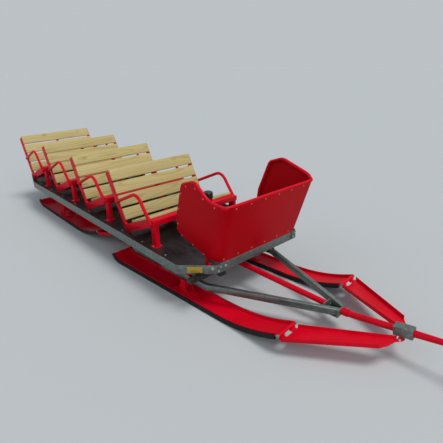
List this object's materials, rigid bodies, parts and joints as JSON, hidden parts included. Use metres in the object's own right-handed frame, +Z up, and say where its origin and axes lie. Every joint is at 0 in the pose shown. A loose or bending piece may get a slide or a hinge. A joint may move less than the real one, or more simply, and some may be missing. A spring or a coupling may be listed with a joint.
{
  "type": "towed passenger sled",
  "caption": "Towed passenger sled on four skis with a steered front bogie and drawbar, plywood deck, slatted benches with armrests and a sheet metal front shield.",
  "frame": {"origin": "middle of the whole sled's base on the ground, halfway along and across its outer box", "axes": "+X forward to the tow eye, +Y to the sled's left, +Z up"},
  "size_m": [4.8486, 1.0636, 0.8574],
  "materials": {
    "red_paint": "gloss",
    "deep_red_paint": "gloss",
    "galvanised": "satin",
    "bare_steel": "satin",
    "plywood": "satin",
    "pine": "matt",
    "black_plastic": "matt",
    "yellow_reflector": "gloss"
  },
  "bodies": {
    "sled": {"bench_1_back_boards": "pine", "bench_1_frame": "red_paint", "bench_1_seat_boards": "pine", "bench_2_back_boards": "pine", "bench_2_frame": "red_paint", "bench_2_seat_boards": "pine", "bench_3_back_boards": "pine", "bench_3_frame": "red_paint", "bench_3_seat_boards": "pine", "bench_4_back_boards": "pine", "bench_4_frame": "red_paint", "bench_4_seat_boards": "pine", "capped_post": "red_paint", "cross_tubes": "galvanised", "deck_corner_beam": "galvanised", "deck_floor": "plywood", "deck_front_beam": "galvanised", "deck_rail_left": "galvanised", "deck_rail_right": "galvanised", "deck_rear_beam": "galvanised", "deck_taper_beams": "galvanised", "front_shield": "deep_red_paint", "post_cap": "black_plastic", "rear_anchor": "red_paint", "rear_bolster": "red_paint", "rear_foot_blocks": "red_paint", "rear_hinge_pins": "bare_steel", "rear_link_left": "red_paint", "rear_link_right": "red_paint", "rear_saddles": "red_paint", "rear_side_beams": "red_paint", "rear_ski_left": "red_paint", "rear_ski_right": "red_paint", "rear_soles": "black_plastic", "rear_yoke": "red_paint", "reflector": "yellow_reflector", "shield_brackets": "red_paint", "sills": "galvanised", "splice_plates": "galvanised", "turntable_plate": "red_paint", "turntable_upper": "bare_steel"},
    "front_bogie": {"front_bolster": "red_paint", "turntable_lower": "bare_steel", "apex_plates": "galvanised", "drawbar": "red_paint", "drawbar_sleeve": "galvanised", "tow_eye": "red_paint", "front_yoke": "red_paint", "front_soles": "black_plastic", "front_saddles": "red_paint", "front_foot_blocks": "red_paint", "front_hinge_pins": "bare_steel", "a_frame_beams": "galvanised", "drawbar_strut": "red_paint", "front_ski_right": "red_paint", "front_ski_left": "red_paint", "front_link_right": "red_paint", "front_link_left": "red_paint"}
  },
  "joints": [
    {"name": "front_steering", "type": "hinge", "parent": "sled", "child": "front_bogie", "pos_m": [0.6602, -0.0158, 0.175], "axis": [0, 0, 1], "range_deg": [-24, 16]}
  ]
}
